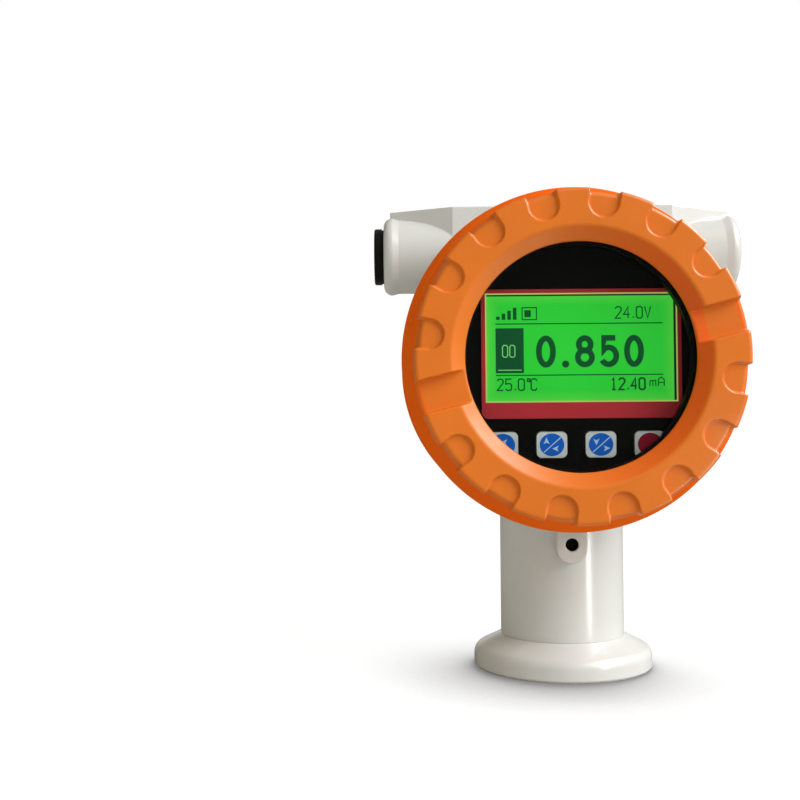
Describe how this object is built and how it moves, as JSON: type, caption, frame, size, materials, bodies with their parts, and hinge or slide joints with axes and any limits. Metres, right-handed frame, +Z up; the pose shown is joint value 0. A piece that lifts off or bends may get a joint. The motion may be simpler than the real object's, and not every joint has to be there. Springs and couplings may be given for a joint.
{
  "type": "ultrasonic level sensor",
  "caption": "Drum-shaped level transmitter: windowed screw cover over a keypad display, blind rear cover, side cable entries, and a neck on a round ultrasonic sensing foot.",
  "frame": {"origin": "centre of the sensing face under the foot", "axes": "+Z up the neck, -Y out through the display, +X to the right as the display is read"},
  "size_m": [0.154, 0.1274, 0.1952],
  "materials": {
    "white_paint": "gloss powder coat on cast aluminium",
    "orange_paint": "satin powder coat on cast aluminium",
    "black_rubber": "moulded rubber",
    "steel": "turned stainless steel",
    "black_anodised": "black anodised aluminium",
    "ceramic": "fired ceramic",
    "dark_resin": "cast resin",
    "clear_glass": "polished toughened glass",
    "black_plastic": "moulded plastic",
    "black_gloss": "black film",
    "red_film": "printed film",
    "screen_green": "lit liquid crystal display",
    "white_plastic": "moulded plastic",
    "board_green": "solder mask",
    "key_cap": "moulded key cap",
    "brass": "turned brass",
    "capacitor_sleeve": "shrink sleeve",
    "red_wire": "wire insulation",
    "terminal_green": "moulded terminal body"
  },
  "bodies": {
    "root": {"housing": "white_paint", "sensor_foot": "white_paint", "foot_o_ring": "black_rubber", "transducer_face": "steel", "piezo_disc": "ceramic", "damping_block": "dark_resin", "transducer_lead": "black_rubber", "faceplate": "black_gloss", "screen_frame": "red_film", "lcd_panel": "screen_green", "lcd_backlight": "white_plastic", "display_board": "board_green", "tact_switches": "black_plastic", "faceplate_screws": "steel", "front_pillars": "brass", "rear_pillars": "brass", "main_board": "board_green", "drive_transformer": "dark_resin", "filter_capacitors": "capacitor_sleeve", "controller_chip": "dark_resin", "display_header": "black_plastic", "lead_header": "white_plastic", "supply_header": "white_plastic", "supply_leads": "red_wire", "terminal_block": "terminal_green", "terminal_screws": "steel", "block_screws": "steel"},
    "front_seal": {"front_o_ring": "black_rubber"},
    "front_cover": {"front_cover": "orange_paint", "window_gasket": "black_rubber", "window_glass": "clear_glass", "window_retainer": "black_anodised"},
    "rear_seal": {"rear_o_ring": "black_rubber"},
    "rear_cover": {"rear_cover": "orange_paint"},
    "plug_washer": {"plug_washer": "black_rubber"},
    "entry_plug": {"entry_plug": "black_plastic"},
    "key_left": {"key_left": "key_cap", "plunger_left": "black_plastic"},
    "key_up": {"key_up": "key_cap", "plunger_up": "black_plastic"},
    "key_down": {"key_down": "key_cap", "plunger_down": "black_plastic"},
    "key_enter": {"key_enter": "key_cap", "plunger_enter": "black_plastic"}
  },
  "joints": [
    {"name": "front_cover_travel", "type": "slide", "parent": "root", "child": "front_seal", "axis": [0, -1, 0], "range_m": [0, 0.012]},
    {"name": "front_cover_turn", "type": "hinge", "parent": "front_seal", "child": "front_cover", "pos_m": [0, -0.0403, 0.1275], "axis": [0, -1, 0], "range_deg": [0, 2160]},
    {"name": "rear_cover_travel", "type": "slide", "parent": "root", "child": "rear_seal", "axis": [0, 1, 0], "range_m": [0, 0.012]},
    {"name": "rear_cover_turn", "type": "hinge", "parent": "rear_seal", "child": "rear_cover", "pos_m": [0, 0.0403, 0.1275], "axis": [0, 1, 0], "range_deg": [0, 2160]},
    {"name": "plug_travel", "type": "slide", "parent": "root", "child": "plug_washer", "axis": [-1, 0, 0], "range_m": [0, 0.012]},
    {"name": "plug_turn", "type": "hinge", "parent": "plug_washer", "child": "entry_plug", "pos_m": [-0.075, 0, 0.1748], "axis": [-1, 0, 0], "range_deg": [0, 2880]},
    {"name": "key_left_press", "type": "slide", "parent": "root", "child": "key_left", "axis": [0, 1, 0], "range_m": [0, 0.0005], "stiffness_N_per_m": 3000},
    {"name": "key_up_press", "type": "slide", "parent": "root", "child": "key_up", "axis": [0, 1, 0], "range_m": [0, 0.0005], "stiffness_N_per_m": 3000},
    {"name": "key_down_press", "type": "slide", "parent": "root", "child": "key_down", "axis": [0, 1, 0], "range_m": [0, 0.0005], "stiffness_N_per_m": 3000},
    {"name": "key_enter_press", "type": "slide", "parent": "root", "child": "key_enter", "axis": [0, 1, 0], "range_m": [0, 0.0005], "stiffness_N_per_m": 3000}
  ],
  "couplings": [
    {"joint": "front_cover_turn", "follows": "front_cover_travel", "rad_per_m": 3141.6},
    {"joint": "rear_cover_turn", "follows": "rear_cover_travel", "rad_per_m": 3141.6},
    {"joint": "plug_turn", "follows": "plug_travel", "rad_per_m": 4188.8}
  ]
}
